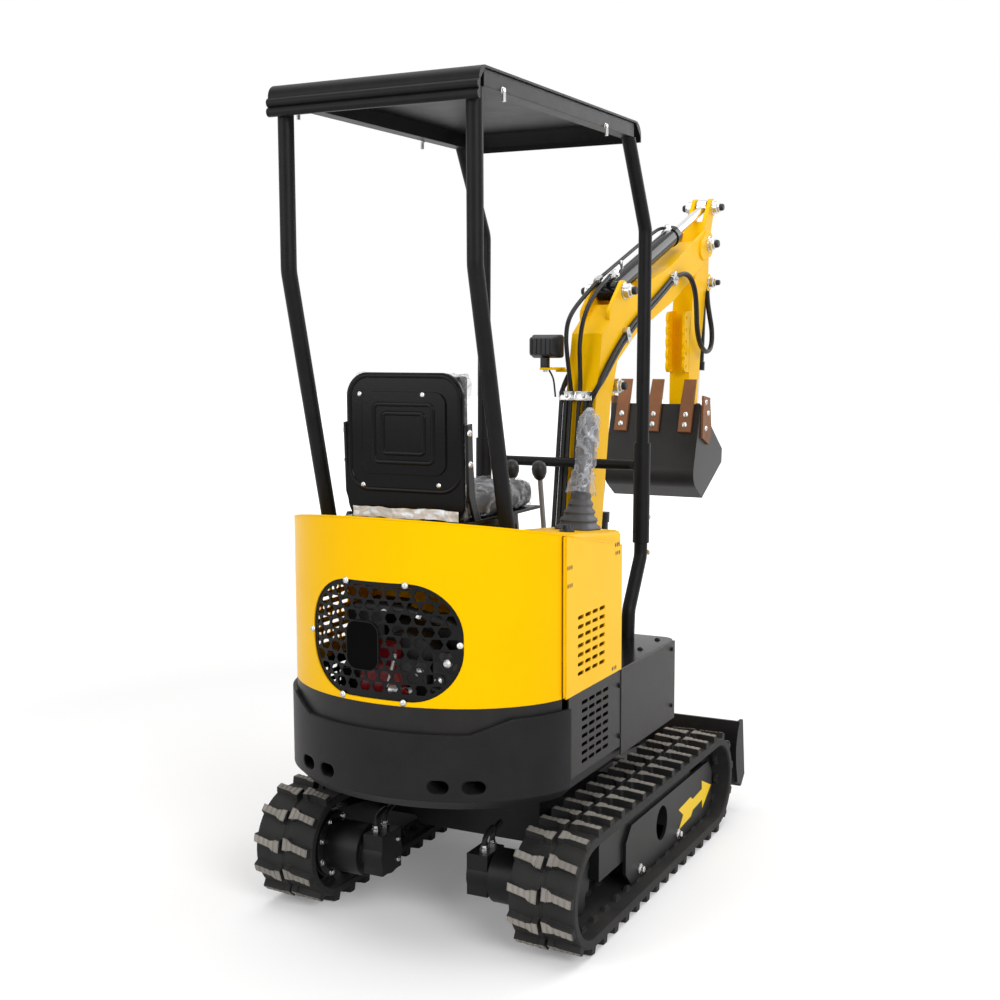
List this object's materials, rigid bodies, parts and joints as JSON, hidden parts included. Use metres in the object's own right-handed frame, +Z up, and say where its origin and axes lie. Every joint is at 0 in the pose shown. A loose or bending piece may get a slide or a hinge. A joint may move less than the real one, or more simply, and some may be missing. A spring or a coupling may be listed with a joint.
{
  "type": "mini excavator",
  "caption": "Compact tracked excavator with a canopy, slewing house, jointed boom, arm and bucket, and a front dozer blade.",
  "frame": {"origin": "on the ground below the slew axis", "axes": "+X forward towards the boom, +Y to the operator's left, +Z up"},
  "size_m": [2.4639, 0.948, 2.16],
  "materials": {
    "yellow_paint": "glossy machine paint",
    "black_paint": "satin black powder coat",
    "cast_weight": "dark painted casting",
    "track_rubber": "moulded rubber, worn tips",
    "hose_rubber": "smooth hydraulic hose cover",
    "rod_chrome": "hard chrome",
    "running_gear": "black paint on steel",
    "engine_red": "red shroud paint",
    "seat_vinyl": "black vinyl",
    "control_grip": "moulded grip and rubber boot",
    "tooth_steel": "bare steel with brown rust film"
  },
  "bodies": {
    "undercarriage": {"car_body": "running_gear", "track_frame_left": "running_gear", "track_frame_right": "running_gear", "track_left": "track_rubber", "track_right": "track_rubber", "track_wheels_left": "running_gear", "track_wheels_right": "running_gear", "travel_motors": "running_gear", "slew_ring": "running_gear"},
    "blade": {"blade": "black_paint"},
    "blade_barrel": {"blade_cylinder_barrel": "black_paint"},
    "blade_rod": {"blade_cylinder_rod": "rod_chrome"},
    "house": {"deck": "black_paint", "counterweight": "cast_weight", "rear_band": "black_paint", "rear_cover": "yellow_paint", "grille": "black_paint", "hood": "yellow_paint", "side_panel_left": "yellow_paint", "side_panel_right": "yellow_paint", "lower_panel_left": "black_paint", "lower_panel_right": "black_paint", "front_panel_left": "black_paint", "front_panel_right": "black_paint", "front_wall": "yellow_paint", "floor_plate": "black_paint", "engine": "engine_red", "seat_pan": "black_paint", "seat_cushion": "seat_vinyl", "seat_back": "seat_vinyl", "canopy_rear_posts": "black_paint", "canopy_front_posts": "black_paint", "canopy_roof": "black_paint", "canopy_rails": "black_paint", "handlebar": "black_paint", "joysticks": "control_grip", "travel_levers": "control_grip", "boom_bracket": "yellow_paint"},
    "boom": {"boom": "yellow_paint", "work_light": "black_paint", "boom_hoses": "hose_rubber"},
    "boom_barrel": {"boom_cylinder_barrel": "black_paint"},
    "boom_rod": {"boom_cylinder_rod": "rod_chrome"},
    "arm": {"arm": "yellow_paint", "thumb_bracket": "yellow_paint"},
    "arm_barrel": {"arm_cylinder_barrel": "black_paint"},
    "arm_rod": {"arm_cylinder_rod": "rod_chrome"},
    "bucket": {"bucket": "black_paint", "bucket_teeth": "tooth_steel"},
    "rocker": {"rocker": "yellow_paint"},
    "bucket_link": {"bucket_link": "black_paint"},
    "bucket_barrel": {"bucket_cylinder_barrel": "black_paint"},
    "bucket_rod": {"bucket_cylinder_rod": "rod_chrome"}
  },
  "joints": [
    {"name": "slew", "type": "hinge", "parent": "undercarriage", "child": "house", "pos_m": [0, 0, 0.37], "axis": [0, 0, 1], "continuous": true},
    {"name": "boom_lift", "type": "hinge", "parent": "house", "child": "boom", "pos_m": [0.47, 0, 0.72], "axis": [0, -1, 0], "range_deg": [-88, 6]},
    {"name": "arm_swing", "type": "hinge", "parent": "boom", "child": "arm", "pos_m": [1.59, 0, 1.9], "axis": [0, 1, 0], "range_deg": [-108, 4]},
    {"name": "bucket_curl", "type": "hinge", "parent": "arm", "child": "bucket", "pos_m": [1.48, 0, 1.125], "axis": [0, 1, 0], "range_deg": [-160, 4]},
    {"name": "blade_lift", "type": "hinge", "parent": "undercarriage", "child": "blade", "pos_m": [0.33, 0, 0.23], "axis": [0, -1, 0], "range_deg": [-25, 12]},
    {"name": "boom_barrel_pivot", "type": "hinge", "parent": "house", "child": "boom_barrel", "pos_m": [0.62, 0, 0.5], "axis": [0, -1, 0], "range_deg": [-83.52, 6.23]},
    {"name": "boom_rod_slide", "type": "slide", "parent": "boom_barrel", "child": "boom_rod", "axis": [0.0784, 0, 0.9969], "range_m": [-0.367, 0.0269]},
    {"name": "arm_barrel_pivot", "type": "hinge", "parent": "boom", "child": "arm_barrel", "pos_m": [0.745, 0, 1.7], "axis": [0, 1, 0], "range_deg": [-4.5, 0.72]},
    {"name": "arm_rod_slide", "type": "slide", "parent": "arm_barrel", "child": "arm_rod", "axis": [0.9394, 0, 0.3429], "range_m": [-0.2843, 0.0125]},
    {"name": "rocker_pivot", "type": "hinge", "parent": "arm", "child": "rocker", "pos_m": [1.501, 0, 1.273], "axis": [0, 1, 0], "range_deg": [-91.21, 2.84]},
    {"name": "bucket_link_pivot", "type": "hinge", "parent": "rocker", "child": "bucket_link", "pos_m": [1.6, 0, 1.117], "axis": [0, 1, 0], "range_deg": [-1.87, 52.38]},
    {"name": "bucket_barrel_pivot", "type": "hinge", "parent": "arm", "child": "bucket_barrel", "pos_m": [1.655, 0, 1.757], "axis": [0, 1, 0], "range_deg": [-10.06, 0.81]},
    {"name": "bucket_rod_slide", "type": "slide", "parent": "bucket_barrel", "child": "bucket_rod", "axis": [-0.0856, 0, -0.9963], "range_m": [-0.2552, 0.0083]},
    {"name": "blade_barrel_pivot", "type": "hinge", "parent": "undercarriage", "child": "blade_barrel", "pos_m": [0.345, 0, 0.31], "axis": [0, -1, 0], "range_deg": [-25.82, 12.69]},
    {"name": "blade_rod_slide", "type": "slide", "parent": "blade_barrel", "child": "blade_rod", "axis": [0.9995, 0, -0.0328], "range_m": [-0.0187, 0.0368]}
  ],
  "couplings": [
    {"joint": "boom_barrel_pivot", "follows": "boom_lift", "ratio": 0.9426},
    {"joint": "boom_rod_slide", "follows": "boom_lift", "m_per_rad": 0.23762},
    {"joint": "arm_barrel_pivot", "follows": "arm_swing", "ratio": 0.0364},
    {"joint": "arm_rod_slide", "follows": "arm_swing", "m_per_rad": 0.14974},
    {"joint": "rocker_pivot", "follows": "bucket_curl", "ratio": 0.5665},
    {"joint": "bucket_link_pivot", "follows": "bucket_curl", "ratio": -0.3238},
    {"joint": "bucket_barrel_pivot", "follows": "bucket_curl", "ratio": 0.0593},
    {"joint": "bucket_rod_slide", "follows": "bucket_curl", "m_per_rad": 0.09067},
    {"joint": "blade_barrel_pivot", "follows": "blade_lift", "ratio": 1.0097},
    {"joint": "blade_rod_slide", "follows": "blade_lift", "m_per_rad": -0.07982}
  ]
}
